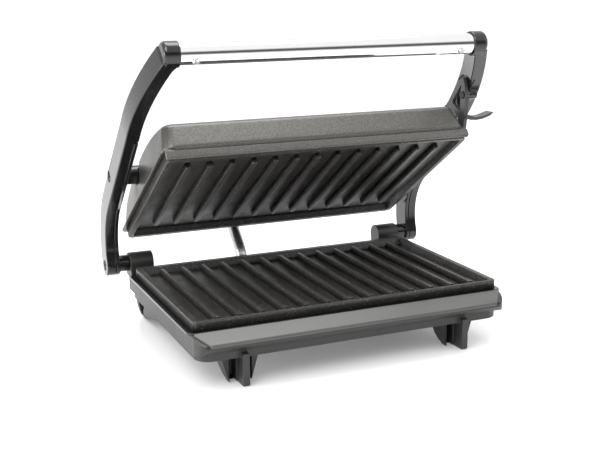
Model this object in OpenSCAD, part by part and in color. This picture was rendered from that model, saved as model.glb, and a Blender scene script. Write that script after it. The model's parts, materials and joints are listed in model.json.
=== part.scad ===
// Panini press, standing open: two ribbed plates, a floating upper half on two curved arms, a tube
// handle and a hanging latch. Millimetres, +Z up, the front towards -Y. The origin is on the surface
// that the feet stand on, under the middle of the lower plate.

/* [Cooking plates] */
// Width of each cooking plate across its rims
plate_w = 234; // [231:0.5:235]
// Depth of each cooking plate, front to back
plate_d = 145; // [143:0.5:145]
// Height of a plate's rim wall
rim_h = 7; // [6.5:0.5:7]
// Height of the lower plate's rim above the table
rim_top = 46; // [46:0.5:47]
// Distance between the middles of two neighbouring ribs
rib_pitch = 16.4; // [15:0.1:16.8]
// Ribs on each side of the middle one
ribs_each_side = 6; // [3:1:6]
// Thickness of one rib at its foot
rib_w = 4.4; // [3:0.2:5]

/* [Base] */
// Half width of the lower housing
base_half_w = 118.5; // [118:0.5:118.5]
// Wall of the moulded housings
wall = 2.4; // [2:0.1:2.6]
// Distance of the feet from the middle, sideways
foot_x = 84.5; // [80:0.5:86]

/* [Arms and handle] */
// Half of the distance between the arms' outer faces
arm_outer_x = 136.9; // [136.5:0.1:137.5]
// Width of an arm seen from the side
arm_w = 17; // [16:0.5:18]
// Diameter of the handle tube
grip_d = 15; // [14:0.5:15.5]
// Radius that the arms curve inwards on, below the handle
curve_r = 178; // [174:1:184]

/* [Motion] */
// Tilt of the upper half when the press stands open
open_tilt = 33.8; // [33:0.1:34.5]
// Gap left between the two rims when the press is closed without food
closed_gap = 1.8; // [1.6:0.1:2.4]

/* [Hidden] */
$fn = 64;
eps = 0.01;

// Axes that the moving parts turn about, all along X, as [y, z]
hinge = [87.4, 46.5];
pivot = [59.4, 121.5];
grip = [-36.6, 216.2];
latch_axis = [-13, 176];

// Heights in the base
plate_z = rim_top - rim_h;
frame_t = 2;
band_top = plate_z - frame_t;
band_bottom = 25;
tray_bottom = 19.5;
floor_top = tray_bottom + wall;
base_back = 95.4;
plate_floor = rim_top - 5;
rib_top = rim_top - 0.4;
rim_w = 3.2;

// The front of the base leans out and down under the trim
nose_top = [-74.2, 37.8];
nose_low = [-84.8, 32.3];
trim_t = 1.4;

// Arms: an arc from the hinge, a straight length up to the bend, and a last length to the handle
arm_t = 10.2;
cover_t = 3;
arm_inner_x = arm_outer_x - arm_t;
split_x = arm_inner_x + cover_t;
arm_r = 51;
arm_start = -20;
arm_mid = hinge - arm_r * [cos(arm_start), sin(arm_start)];
bend = [10.9, 162.1];
to_bend = bend - arm_mid;
arm_end = atan2(to_bend[1], to_bend[0]) - acos(arm_r / norm(to_bend));
arm_dir = arm_end + 90;
arc_tip = arm_mid + arm_r * [cos(arm_end), sin(arm_end)];
low_run = norm(bend - arc_tip);
top_run = norm(grip - bend);
top_dir = atan2(grip[1] - bend[1], grip[0] - bend[0]);
pin_r = 3;
pin_fit = 0.05;
head_r = 3.6;
recess_r = 3.8;
recess_depth = 2;
sleeve_r = 6.5;
knuckle_r = 8;
knuckle_in = 99.7;
knuckle_out = 118.4;
sleeve_in = 118.8;
cap_in = 110.4;
cap_out = 121.8;
cap_r = 8.9;
grip_wall = 1;
grip_half = 118;

// The upper half is drawn lying flat about its pivot, and then tilted open
upper_rim = -(pivot_rise());
upper_y = -13.2;
upper_back_y = upper_y + plate_d / 2;
upper_front_y = upper_y - plate_d / 2;
cover_seam = upper_rim + rim_h;
cover_front = upper_front_y - 2.2;
cover_back = upper_back_y + 4.2;
seat_x = 112.4;
notch_r = 8.2;
pivot_sleeve_r = 7;

// Food side of the closed press: how far the pivot stays above the upper rim
function closed_pivot_z() = hinge[1]
    + sqrt(pow(norm(pivot - hinge), 2) - pow(hinge[0] - 13.2, 2));
function pivot_rise() = closed_pivot_z() - rim_top - closed_gap;

// A box from its low corner to its high corner
module block(lo, hi) translate(lo) cube(hi - lo);

// A cylinder along X from x0 to x1 about the axis [y, z]
module xrod(r, x0, x1, at) translate([x0, at[0], at[1]]) rotate([0, 90, 0]) cylinder(r = r, h = x1 - x0);

// A cylinder along Y from y0 to y1 about [x, z]
module yrod(r, y0, y1, at) translate([at[0], y0, at[1]]) rotate([-90, 0, 0]) cylinder(r = r, h = y1 - y0);

// The outline is drawn in Y and Z and runs along X from x0 to x1
module side_profile(x0, x1) translate([x0, 0, 0]) rotate([90, 0, 90]) linear_extrude(x1 - x0) children();

// The outline is drawn in X and Z and runs along Y from y0 to y1
module front_profile(y0, y1) translate([0, y1, 0]) rotate([90, 0, 0]) linear_extrude(y1 - y0) children();

module round_rect(x0, x1, y0, y1, r) {
    translate([x0 + r, y0]) square([x1 - x0 - 2 * r, y1 - y0]);
    translate([x0, y0 + r]) square([x1 - x0, y1 - y0 - 2 * r]);
    for (x = [x0 + r, x1 - r], y = [y0 + r, y1 - r]) translate([x, y]) circle(r);
}

module slab(x0, x1, y0, y1, z0, z1, r) translate([0, 0, z0]) linear_extrude(z1 - z0)
    round_rect(x0, x1, y0, y1, r);

// The same shape on the left and on the right
module pair() {
    children();
    mirror([1, 0, 0]) children();
}

module on_four(x, y) for (sx = [-1, 1], sy = [-1, 1]) translate([sx * x, sy * y, 0]) children();

// From the flat position about the pivot to the open position
module tilted() translate([0, pivot[0], pivot[1]]) rotate([-open_tilt, 0, 0]) children();

/* Base */

foot_half_top = 15.5;
foot_half_low = 8.2;
foot_front = -71.2;
foot_back = -55;
fin_front = -83.4;
fin_half = 2.4;
back_foot_x = 99;

// A front foot: a tapering leg, cut out on both sides of a fin that stands forward
module front_foot() {
    intersection() {
        front_profile(fin_front, foot_back) polygon([[-foot_half_top, band_bottom], [-foot_half_low, 0],
            [foot_half_low, 0], [foot_half_top, band_bottom]]);
        difference() {
            side_profile(-foot_half_top, foot_half_top) polygon([[foot_front, band_bottom],
                [foot_front, 0], [-65.5, 0], [-60.5, 2.4], [-57.2, 6.4], [foot_back - 0.6, 12],
                [foot_back, band_bottom]]);
            for (s = [-1, 1]) translate([s * 5.4, 0, 0])
                block([-2.4, foot_front - 1, -1], [2.4, foot_front + 9, tray_bottom]);
        }
    }
    side_profile(-fin_half, fin_half) polygon([[fin_front, 23], [fin_front, 1.5], [fin_front + 1, 0],
        [foot_front + 1, 0], [foot_front + 1, 23]]);
}

// A back foot: a leg under the rear corner with a long ramp in front of it, and a three-cornered
// recess in its outer side
module back_foot() translate([back_foot_x, 0, 0]) difference() {
    intersection() {
        side_profile(-13, 16) polygon([[28, band_bottom], [40, 13.6], [64, 6], [81, 0], [89.5, 0],
            [92.5, band_bottom]]);
        front_profile(20, 94) polygon([[-9, band_bottom], [-5, 0], [8, 0], [11, 3], [13, 11],
            [14.5, band_bottom]]);
    }
    side_profile(6.5, 16) polygon([[62, 20.5], [84, 20.5], [85, 6], [80, 4]]);
}

module nose_cut(grow) polygon([[base_back, band_top], nose_top + [0, band_top - nose_top[1]], nose_top,
    nose_low, [-85.4, 31.2], [-85.4, 29.4], [-80.4, band_bottom], [base_back, band_bottom]]);

// Plan of the housing, with the front corners cut back under the ends of the trim
module base_plan(shrink) round_rect(-base_half_w + shrink, base_half_w - shrink, -86 + shrink,
    base_back - shrink, 10);

tray_half = 116.4;

module knuckle() {
    xrod(knuckle_r, knuckle_in, knuckle_out, hinge);
    block([knuckle_in, hinge[0] - knuckle_r, band_top - 1], [knuckle_out, base_back - 1, hinge[1] - 2]);
}

module base_housing() color([0.16, 0.16, 0.16]) difference() {
    union() {
        difference() {
            union() {
                intersection() {
                    side_profile(-base_half_w, base_half_w) nose_cut();
                    translate([0, 0, band_bottom]) linear_extrude(band_top) base_plan(0);
                }
                slab(-tray_half, tray_half, -79.5, 89, tray_bottom, band_bottom + eps, 11);
                for (s = [-1, 1]) translate([s * foot_x, 0, 0]) front_foot();
                pair() back_foot();
            }
            slab(-tray_half + wall, tray_half - wall, -79.5 + wall, 89 - wall, floor_top, band_top + 1, 8.6);
            intersection() {
                side_profile(-base_half_w + wall, base_half_w - wall) polygon([[-72, 50], [-72, 36.2],
                    [-82, 31], [-82.6, 30], [-79.4, 27.4], [base_back - wall, 27.4],
                    [base_back - wall, 50]]);
                translate([0, 0, band_bottom]) linear_extrude(30) base_plan(wall);
            }
            // Breathing slots in the bottom
            for (i = [-3:3]) block([i * 14 - 2, -22, 0], [i * 14 + 2, 22, 30]);
        }
        // Shelf behind the lower plate, which carries the hinge knuckles
        block([-base_half_w + 8, plate_d / 2 + 4, band_top - 2.4], [base_half_w - 8, base_back - 0.5, band_top]);
        pair() knuckle();
    }
    pair() xrod(pin_r + pin_fit, knuckle_in + 1, knuckle_out + 1, hinge);
    on_four(post_x, post_y) {
        translate([0, 0, tray_bottom - 1]) cylinder(r = screw_r, h = 5);
        translate([0, 0, -1]) cylinder(r = 4, h = tray_bottom + 1);
    }
    yrod(gland_r, base_back - 4, base_back + 1, gland_at);
    translate([conduit_x, conduit_y, band_top - 5]) cylinder(r = socket_r, h = 6);
}

// Thin black frame between the housing and the lower plate
module plate_frame() color([0.06, 0.06, 0.06]) difference() {
    slab(-plate_w / 2 - 4, plate_w / 2 + 4, -74.2, plate_d / 2 + 3.7, band_top, plate_z, 5);
    slab(-plate_w / 2 + 5, plate_w / 2 - 5, -plate_d / 2 + 5, plate_d / 2 - 5, band_top - 1, plate_z + 1, 4);
    pair() block([base_half_w - 0.2, plate_d / 2 + 3, 0], [130, 90, 50]);
}

// Satin panel on the sloping front
module front_trim() color([0.62, 0.62, 0.6]) intersection() {
    side_profile(-117.6, 117.6) polygon([nose_top, nose_top + [-0.7, 1.25], nose_low + [-0.9, 1.05],
        [-86.2, 32.3], [-86.2, 30.9], [-85.4, 31.2], nose_low]);
    linear_extrude(60) polygon([[-117.4, -70], [-117.4, -75.4], [-114.6, -79.6], [-110.4, -84.6],
        [-108.4, -86.4], [108.4, -86.4], [110.4, -84.6], [114.6, -79.6], [117.4, -75.4], [117.4, -70]]);
}

post_x = 101.6;
post_y = 55;
post_r = 4;
screw_r = 1.9;
heater_r = 3.5;
heater_run_y = 32;
heater_bend_x = -58;
heater_end_x = 62;
heater_z = plate_z - 4.5;
gland_r = 5;
gland_at = [46, 30.5];

// Centre line of a tubular heater in the shape of a U, open towards +X
module heater_u(r) {
    for (s = [-1, 1]) xrod(r, heater_bend_x, heater_end_x, [s * heater_run_y, 0]);
    translate([heater_bend_x, 0, 0]) rotate([0, 0, 90]) rotate_extrude(angle = 180)
        translate([heater_run_y, 0]) circle(r);
}

// Cast ridge that holds the heater, hanging from z = 0 down to -depth
module heater_ridge(depth) {
    for (s = [-1, 1]) block([heater_bend_x, s * heater_run_y - 6, -depth],
        [heater_end_x - 4, s * heater_run_y + 6, eps]);
    translate([heater_bend_x, 0, 0]) rotate([0, 0, 90]) rotate_extrude(angle = 180)
        translate([heater_run_y - 6, -depth]) square([12, depth + eps]);
}

// One rib with a sloping side, from y0 to y1 and from z = 0 up to h
module rib(y0, y1, h, w, top_w) front_profile(y0, y1)
    polygon([[-w / 2, 0], [w / 2, 0], [top_w / 2, h], [-top_w / 2, h]]);

// Tray with sloping inner walls, cut from a plate: it is open upwards from z = 0
module plate_hollow(half_w, y0, y1, depth, lean) intersection() {
    front_profile(y0 - lean, y1 + lean) polygon([[-half_w, 0], [half_w, 0], [half_w + lean, depth],
        [-half_w - lean, depth]]);
    side_profile(-half_w - lean, half_w + lean) polygon([[y0, 0], [y1, 0], [y1 + lean, depth],
        [y0 - lean, depth]]);
}

module lower_plate() color([0.1, 0.1, 0.1]) difference() {
    union() {
        difference() {
            slab(-plate_w / 2, plate_w / 2, -plate_d / 2, plate_d / 2, plate_z, rim_top, 3);
            translate([0, 0, plate_floor]) plate_hollow(plate_w / 2 - rim_w - 4, -plate_d / 2 + 4.5,
                plate_d / 2 - 8, rim_top - plate_floor + eps, 3);
        }
        for (i = [-ribs_each_side:ribs_each_side]) translate([i * rib_pitch, 0, plate_floor - eps])
            rib(-plate_d / 2 + 6.2, plate_d / 2 - 6.5, rib_top - plate_floor, rib_w, 2.6);
        translate([0, 0, plate_z]) heater_ridge(4.5);
        on_four(post_x, post_y) translate([0, 0, floor_top]) cylinder(r = post_r, h = plate_z - floor_top + eps);
    }
    translate([0, 0, heater_z]) heater_u(heater_r);
    on_four(post_x, post_y) translate([0, 0, 10]) cylinder(r = screw_r, h = 26);
}

// Tubular heater with its two connecting pins
module heater() {
    heater_u(heater_r);
    for (s = [-1, 1]) xrod(1.6, heater_end_x - eps, heater_end_x + 14, [s * heater_run_y, 0]);
}

module lower_heater() color([0.45, 0.43, 0.4]) translate([0, 0, heater_z]) heater();

// Sheet pan behind a heater, held off the plate by four legs that reach up to z = rise
module reflector(rise) {
    difference() {
        slab(-96, 96, -58, 58, 0, 2.6, 5);
        slab(-95.2, 95.2, -57.2, 57.2, 0.8, 3, 4.2);
    }
    on_four(84, 50) cylinder(r = 3, h = rise);
}

module insulation() difference() {
    slab(-94, 94, -56, 56, 0, 1.4, 5);
    on_four(84, 50) translate([0, 0, -1]) cylinder(r = 3.4, h = 4);
}

module lower_reflector() color([0.75, 0.75, 0.76]) translate([0, 0, 27]) reflector(plate_z - 27);

module lower_insulation() color([0.88, 0.86, 0.8]) translate([0, 0, 27.8 + eps]) insulation();

module thermostat() color([0.85, 0.82, 0.74]) {
    translate([0, 0, plate_z - 7]) cylinder(r = 8.2, h = 7);
    block([-13, -3, plate_z - 1.2], [13, 3, plate_z]);
    for (s = [-1, 1]) block([s * 4 - 2, -13, plate_z - 5], [s * 4 + 2, 13, plate_z - 4.2]);
}

module thermal_fuse() color([0.8, 0.78, 0.7]) xrod(2, 24, 38, [0, plate_z - 2]);

module terminal_block() color([0.9, 0.9, 0.86]) difference() {
    block([20, 60, floor_top], [44, 72, floor_top + 9]);
    for (i = [0:2]) translate([24 + i * 8, 66, floor_top + 3]) cylinder(r = 2, h = 10);
}

// Bush in the back wall that the mains cord would pass through
module supply_gland() color([0.07, 0.07, 0.07]) difference() {
    union() {
        yrod(gland_r, base_back - wall - 1.2, base_back, gland_at);
        yrod(gland_r + 1.6, base_back, base_back + 2.4, gland_at);
    }
    yrod(3.4, base_back - 9, base_back + 9, gland_at);
}

module base_screws() color([0.7, 0.7, 0.7]) on_four(post_x, post_y) difference() {
    union() {
        translate([0, 0, tray_bottom]) cylinder(r = screw_r, h = 14);
        translate([0, 0, tray_bottom - 1.8]) cylinder(r = 3.6, h = 1.8);
    }
    for (a = [0, 90]) rotate([0, 0, a]) block([-2, -0.4, 0], [2, 0.4, tray_bottom - 0.8]);
}

/* Flexible conduit that carries the leads from the base up to the upper half */

conduit_x = -24;
conduit_y = 86.5;
conduit_r = 5.2;
socket_r = 6.6;

module conduit_socket() color([0.07, 0.07, 0.07]) translate([conduit_x, conduit_y, band_top - 5])
    difference() {
        union() {
            cylinder(r = socket_r, h = 5);
            translate([0, 0, 5]) cylinder(r = socket_r + 1.6, h = 2);
        }
        translate([0, 0, -1]) cylinder(r = conduit_r - 1, h = 9);
    }

// Where the conduit meets the upper half: a point on its back wall, and the way out of it
ferrule_y = cover_back + 2;
ferrule_z = cover_seam + 3.4;
function to_open(p) = [pivot[0] + p[0] * cos(open_tilt) + p[1] * sin(open_tilt),
    pivot[1] - p[0] * sin(open_tilt) + p[1] * cos(open_tilt)];

conduit_from = [conduit_y, band_top + 2];
conduit_to = to_open([ferrule_y + 0.5, ferrule_z]);
conduit_rings = 15;
conduit_sides = 12;
// Ways out of the two ends, scaled to shape the bow between them
conduit_lift = [1, 13];
conduit_out = 13 * [cos(open_tilt), -sin(open_tilt)];

function bow(t) = pow(1 - t, 3) * conduit_from + 3 * t * pow(1 - t, 2) * (conduit_from + conduit_lift)
    + 3 * t * t * (1 - t) * (conduit_to + conduit_out) + t * t * t * conduit_to;
function bow_way(t) = let (d = bow(min(1, t + 0.01)) - bow(max(0, t - 0.01))) d / norm(d);
function end_way(t) = t == 0 ? [0, 1] : t == 1 ? -[cos(open_tilt), -sin(open_tilt)] : bow_way(t);

module conduit() color([0.6, 0.6, 0.6]) polyhedron(
    points = [for (i = [0:conduit_rings]) let (t = i / conduit_rings, c = bow(t), w = end_way(t))
        for (k = [0:conduit_sides - 1]) let (a = 360 * k / conduit_sides)
            [conduit_x + conduit_r * cos(a), c[0] + conduit_r * sin(a) * -w[1],
             c[1] + conduit_r * sin(a) * w[0]]],
    faces = concat(
        [[for (k = [0:conduit_sides - 1]) k]],
        [for (i = [0:conduit_rings - 1], k = [0:conduit_sides - 1]) let (n = (k + 1) % conduit_sides,
            b = i * conduit_sides, u = b + conduit_sides) [b + k, u + k, u + n, b + n]],
        [[for (k = [conduit_sides - 1:-1:0]) conduit_rings * conduit_sides + k]]));

/* Arms */

// Foot of the right arm from the side: the eye round the hinge and the arc that rises from it
module arm_foot() {
    translate(hinge) circle(arm_w / 2);
    translate(arm_mid) intersection() {
        difference() {
            circle(arm_r + arm_w / 2, $fn = 180);
            circle(arm_r - arm_w / 2, $fn = 180);
        }
        polygon([[0, 0], 3 * arm_r * [cos(arm_start), sin(arm_start)],
            3 * arm_r * [cos(arm_end), sin(arm_end)]]);
    }
}

// A point at a distance to the left of a line that runs through at in the direction dir
function beside(at, dir, off) = at + off * [-sin(dir), cos(dir)];

module shell_outline() {
    mid_dir = (arm_dir + top_dir) / 2;
    miter = arm_w / 2 / cos((arm_dir - top_dir) / 2);
    arm_foot();
    polygon([beside(arc_tip, arm_dir, -arm_w / 2), beside(bend, mid_dir, -miter),
        beside(grip, top_dir, -arm_w / 2), beside(grip, top_dir, arm_w / 2),
        beside(bend, mid_dir, miter), beside(arc_tip, arm_dir, arm_w / 2)]);
}

// The shell from the front, with the bend at z = 0: above it, the arm curves inwards ever more;
// below it, the cover stands on the inner side
curve_steps = 9;
function curved(k) = let (z = top_run * k / curve_steps) [-z * z / (2 * curve_r), z];
module shell_section() polygon(concat([[arm_outer_x, -200]],
    [for (k = [0:curve_steps]) [arm_outer_x, 0] + curved(k)],
    [for (k = [curve_steps:-1:0]) [arm_inner_x - 0.06 * k, 0] + curved(k)],
    [[arm_inner_x, -4], [split_x, -4], [split_x, -200]]));

arm_screw_at = [10, 62];
arm_screw_r = 1.5;
arm_screw_head_r = 2.6;
latch_pin_r = 1.6;
latch_pin_end = 131.5;
lug_r = 3.3;
lug_in = 126;
latch_pocket_r = 15.5;

function along_arm(s) = arc_tip + s * [cos(arm_dir), sin(arm_dir)];

// Lug on the front edge of the arm, which the latch hangs from
module latch_lug() side_profile(lug_in, latch_pin_end + 1) {
    translate(latch_axis) circle(lug_r);
    polygon([latch_axis + [0, lug_r], latch_axis + [9, lug_r + 3], latch_axis + [9, -lug_r - 3],
        latch_axis + [0, -lug_r]]);
}

module arm_shell(latched) difference() {
    union() {
        intersection() {
            side_profile(90, 150) shell_outline();
            translate([0, bend[0], bend[1]]) rotate([top_dir - 90, 0, 0])
                front_profile(-150, 150) shell_section();
        }
        xrod(cap_r, cap_in, cap_out - 2, grip);
        translate([cap_out - 2, grip[0], grip[1]]) rotate([0, 90, 0]) cylinder(r1 = cap_r, r2 = cap_r - 1.6, h = 2);
        if (latched) latch_lug();
    }
    xrod(pin_r, 110, arm_outer_x + 1, hinge);
    xrod(recess_r, arm_outer_x - recess_depth, arm_outer_x + 1, hinge);
    xrod(pin_r, 110, arm_outer_x + 1, pivot);
    xrod(recess_r, arm_outer_x - recess_depth, arm_outer_x + 1, pivot);
    xrod(grip_d / 2, cap_in - 1, grip_half, grip);
    if (latched) {
        xrod(latch_pin_r, 110, latch_pin_end, latch_axis);
        xrod(4, 110, lug_in, latch_axis);
        side_profile(110, latch_in + latch_t + 0.4) translate(latch_axis)
            polygon([for (a = [15:30:345]) latch_pocket_r * [cos(a), sin(a)]]);
    }
    for (s = arm_screw_at) xrod(arm_screw_r, split_x - 1, split_x + 4.5, along_arm(s));
}

module arm_cover(latched) difference() {
    union() {
        side_profile(arm_inner_x, split_x) difference() {
            union() {
                arm_foot();
                translate(arc_tip) rotate(arm_dir) translate([0, -arm_w / 2]) square([low_run - 5, arm_w]);
            }
            if (latched) translate(latch_axis) circle(lug_r + 9.4);
        }
        xrod(sleeve_r, sleeve_in, arm_inner_x + eps, hinge);
        xrod(pivot_sleeve_r, seat_x + 0.4, arm_inner_x + eps, pivot);
    }
    xrod(pin_r, 110, 140, hinge);
    xrod(pin_r, 110, 140, pivot);
    for (s = arm_screw_at) {
        xrod(arm_screw_r, 110, 140, along_arm(s));
        xrod(arm_screw_head_r, 110, arm_inner_x + 1.4, along_arm(s));
    }
}

module right_arm_shell() color([0.09, 0.09, 0.09]) arm_shell(true);
module left_arm_shell() color([0.09, 0.09, 0.09]) mirror([1, 0, 0]) arm_shell(false);
module right_arm_cover() color([0.05, 0.05, 0.05]) arm_cover(true);
module left_arm_cover() color([0.05, 0.05, 0.05]) mirror([1, 0, 0]) arm_cover(false);

module handle_tube() color([0.85, 0.86, 0.87]) difference() {
    xrod(grip_d / 2, -grip_half, grip_half, grip);
    xrod(grip_d / 2 - grip_wall, -grip_half - 1, grip_half + 1, grip);
    pair() handle_screw_at() cylinder(r = 1.3, h = 20);
}

// Handle screws point down and forward
module handle_screw_at() translate([100, grip[0], grip[1]]) rotate([125, 0, 0]) children();

module handle_screws() color([0.8, 0.8, 0.8]) pair() handle_screw_at() {
    translate([0, 0, grip_d / 2 - 3]) cylinder(r = 1.3, h = 3);
    translate([0, 0, grip_d / 2]) cylinder(r = 2.6, h = 1.2);
}

module arm_screws() color([0.7, 0.7, 0.7]) pair()
    for (s = arm_screw_at) {
        xrod(arm_screw_r, arm_inner_x + 1, split_x + 4.5, along_arm(s));
        xrod(arm_screw_head_r, arm_inner_x + 0.2, arm_inner_x + 1.4, along_arm(s));
    }

// Shouldered pin with a cross slot in its head
module shoulder_pin(from, at) difference() {
    union() {
        xrod(pin_r, from, arm_outer_x - recess_depth + eps, at);
        xrod(head_r, arm_outer_x - recess_depth, arm_outer_x - 0.6, at);
    }
    for (a = [0, 90]) translate([arm_outer_x - 1.3, at[0], at[1]]) rotate([a, 0, 0])
        block([0, -2.6, -0.5], [2, 2.6, 0.5]);
}

module hinge_pins() color([0.6, 0.6, 0.6]) pair() shoulder_pin(knuckle_in + 1.4, hinge);
module pivot_pins() color([0.6, 0.6, 0.6]) pair() shoulder_pin(bracket_x - 1.5, pivot);

module latch_pin() color([0.6, 0.6, 0.6]) {
    xrod(latch_pin_r, latch_in - 0.6, latch_pin_end, latch_axis);
    xrod(2.8, latch_in - 1.3, latch_in - 0.2, latch_axis);
}

/* Latch */

latch_in = 121.3;
latch_t = 3.2;
latch_tab_out = 146;
nib_reach = 1.1;

module latch() color([0.2, 0.2, 0.2]) difference() {
    union() {
        // Flat frame beside the arm, with a leg that reaches down
        side_profile(latch_in, latch_in + latch_t) translate(latch_axis) difference() {
            polygon([[-3.4, 0], [-1.6, 9], [0.6, 12.6], [3.4, 13], [20.5, -6.4], [20, -10],
                [6.5, -18], [5, -26.8], [-1.2, -26.8], [-3.2, -14]]);
            polygon([[2.6, 6.6], [3.4, 6.6], [14.6, -6.2], [14.2, -8.2], [6, -12.8], [3.8, -12.2], [3.8, 3]]);
        }
        xrod(3.6, latch_in, lug_in - 0.2, latch_axis);
        // Nib that hooks under the frame of the base
        side_profile(latch_in - nib_reach, latch_in + 1) translate(latch_axis)
            polygon([[4.6, -26.8], [-1.2, -26.8], [-1.2, -25.2], [4.6, -25.5]]);
        // Thumb tab that sweeps out to the side
        front_profile(latch_axis[0] - 6, latch_axis[0] + 3.4) translate([0, latch_axis[1]])
            polygon([[latch_in, -17.4], [latch_in + 4, -18.8], [latch_in + 9, -19.2], [latch_in + 15, -18.6],
                [latch_tab_out - 3, -16.4], [latch_tab_out, -14], [latch_tab_out - 1, -13.6],
                [latch_in + 15, -16.2], [latch_in + 8, -16.8], [latch_in + latch_t, -15], [latch_in, -14.6]]);
    }
    xrod(latch_pin_r + pin_fit, 110, 140, latch_axis);
}

/* Upper half, drawn flat about the pivot */

cover_half = 118;
top_half = 115;

// Outline of the cover from the side; s gives the inner surface
module cover_side(s) polygon([[cover_front + s, cover_seam - 1], [cover_front + s + 1.2, -17.4],
    [upper_front_y + 0.2 + s, -2.6 - s], [upper_front_y + 2.6 + s, -s], [-64, 4.6 - s], [-48, 7.6 - s],
    [-32, 9 - s], [-14, 9 - s], [8, 7.6 - s], [30, 4.4 - s], [46, 0.4 - s], [cover_back - 6 - s, -5 - s],
    [cover_back - s, -12 - s], [cover_back - s, cover_seam - 1]]);

module cover_front_view(s) polygon([[-cover_half + s, cover_seam - 1], [-117.4 + s, -17.6],
    [-top_half - 1 + s, -1], [-top_half + s, 3 - s], [-top_half + 3 + s, 7 - s], [-104, 10 - s],
    [104, 10 - s], [top_half - 3 - s, 7 - s], [top_half - s, 3 - s], [top_half + 1 - s, -1],
    [117.4 - s, -17.6], [cover_half - s, cover_seam - 1]]);

// Notch in a side of the cover, open upwards, that the arm's pivot sleeve stands in
module notch() side_profile(seat_x, 130) {
    circle(notch_r);
    translate([-notch_r, 0]) square([2 * notch_r, 20]);
}

module upper_cover() color([0.43, 0.43, 0.41]) tilted() difference() {
    union() {
        intersection() {
            side_profile(-130, 130) cover_side(0);
            front_profile(-120, 120) cover_front_view(0);
            slab(-118, 118, cover_front, cover_back, cover_seam, 12, 8);
        }
        // Flange round the seam, and the lip that hangs in front of the plate
        slab(-plate_w / 2 - 2.8, plate_w / 2 + 2.8, upper_front_y - 1, cover_back, cover_seam,
            cover_seam + 1.6, 5);
        side_profile(-118, 118) polygon([[upper_front_y - 0.4, upper_rim + 0.6],
            [upper_front_y - 1.8, upper_rim + 0.6], [cover_front, upper_rim + 2.4], [cover_front, -18.6],
            [upper_front_y - 0.4, -18.6]]);
    }
    difference() {
        intersection() {
            side_profile(-130, 130) cover_side(wall);
            front_profile(-120, 120) cover_front_view(wall);
            slab(-114, 114, upper_front_y + 2.4, upper_back_y - 1.5, cover_seam - 2, 12, 4);
        }
        // Walls behind the notches
        pair() side_profile(seat_x - wall, 120) {
            circle(notch_r + wall);
            translate([-notch_r - wall, 0]) square([2 * (notch_r + wall), 20]);
        }
    }
    pair() notch();
    pair() xrod(pin_r + pin_fit, seat_x - wall - 1, 130, [0, 0]);
    translate([conduit_x, cover_back - 7, ferrule_z]) rotate([-90, 0, 0]) cylinder(r = ferrule_hole, h = 20);
    for (x = lamp_at) translate([x, lamp_y, -20]) cylinder(r = lamp_r, h = 40);
}

lamp_at = [-12, 12];
lamp_y = -62;
lamp_r = 4;
ferrule_hole = 3.2;
bracket_x = 105.6;
bracket_t = 2;
bracket_screw_x = 100.6;
bracket_screw_y = 9;

module upper_plate() color([0.1, 0.1, 0.1]) tilted() difference() {
    union() {
        difference() {
            slab(-plate_w / 2, plate_w / 2, upper_front_y, upper_back_y, upper_rim, cover_seam, 5);
            mirror([0, 0, 1]) translate([0, 0, -upper_rim - 4.4]) plate_hollow(plate_w / 2 - rim_w - 3,
                upper_front_y + 5.5, upper_back_y - 6.5, 4.4 + eps, 2.6);
        }
        for (i = [-ribs_each_side:ribs_each_side]) translate([i * rib_pitch, 0, upper_rim + 0.4]) {
            block([-2, upper_front_y + 17, 0], [2, upper_back_y - 22.5, 4.1]);
            for (y = [upper_front_y + 17, upper_back_y - 22.5]) translate([0, y, 0]) cylinder(r = 2, h = 4.1);
        }
        translate([0, upper_y, cover_seam]) mirror([0, 0, 1]) heater_ridge(3.6);
    }
    translate([0, upper_y, cover_seam + 3.6]) heater_u(heater_r);
    on_four(bracket_screw_x, bracket_screw_y) translate([0, 0, cover_seam - 2]) cylinder(r = screw_r, h = 9);
}

module upper_heater() color([0.45, 0.43, 0.4]) tilted() translate([0, upper_y, cover_seam + 3.6]) heater();

module upper_reflector() color([0.75, 0.75, 0.76]) tilted()
    union() {
        block([-80, -74, cover_seam + 9], [80, 4, cover_seam + 9.8]);
        for (x = [-72, 72], y = [-66, -4]) translate([x, y, cover_seam]) cylinder(r = 3, h = 9 + eps);
    }

module upper_insulation() color([0.88, 0.86, 0.8]) tilted()
    block([-78, -72, cover_seam + 9.8], [78, 2, cover_seam + 11]);

// Steel brackets on the back of the plate, which the pivot pins run in
module pivot_brackets() color([0.72, 0.72, 0.72]) tilted() pair() difference() {
    union() {
        block([bracket_screw_x - 4, -13, cover_seam], [bracket_x + bracket_t, 13, cover_seam + bracket_t]);
        side_profile(bracket_x, bracket_x + bracket_t) {
            polygon([[-13, cover_seam], [13, cover_seam], [13, cover_seam + 4], [6.4, 2], [-6.4, 2],
                [-13, cover_seam + 4]]);
            circle(5.6);
        }
    }
    xrod(pin_r + pin_fit, 90, 120, [0, 0]);
    for (y = [-1, 1]) translate([bracket_screw_x, y * bracket_screw_y, cover_seam - 1])
        cylinder(r = screw_r, h = 9);
}

module bracket_screws() color([0.7, 0.7, 0.7]) tilted() on_four(bracket_screw_x, bracket_screw_y) {
    translate([0, 0, cover_seam - 1.8]) cylinder(r = screw_r, h = bracket_t + 2);
    translate([0, 0, cover_seam + bracket_t]) cylinder(r = 3.4, h = 1.6);
}

module lamp() {
    translate([0, lamp_y, -8]) cylinder(r = lamp_r, h = 13.8);
    translate([0, lamp_y, -10.5]) cylinder(r = lamp_r + 1.4, h = 8);
}

module lamp_power() color([0.8, 0.1, 0.05]) tilted() translate([lamp_at[0], 0, 0]) lamp();
module lamp_ready() color([0.1, 0.6, 0.15]) tilted() translate([lamp_at[1], 0, 0]) lamp();

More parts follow.
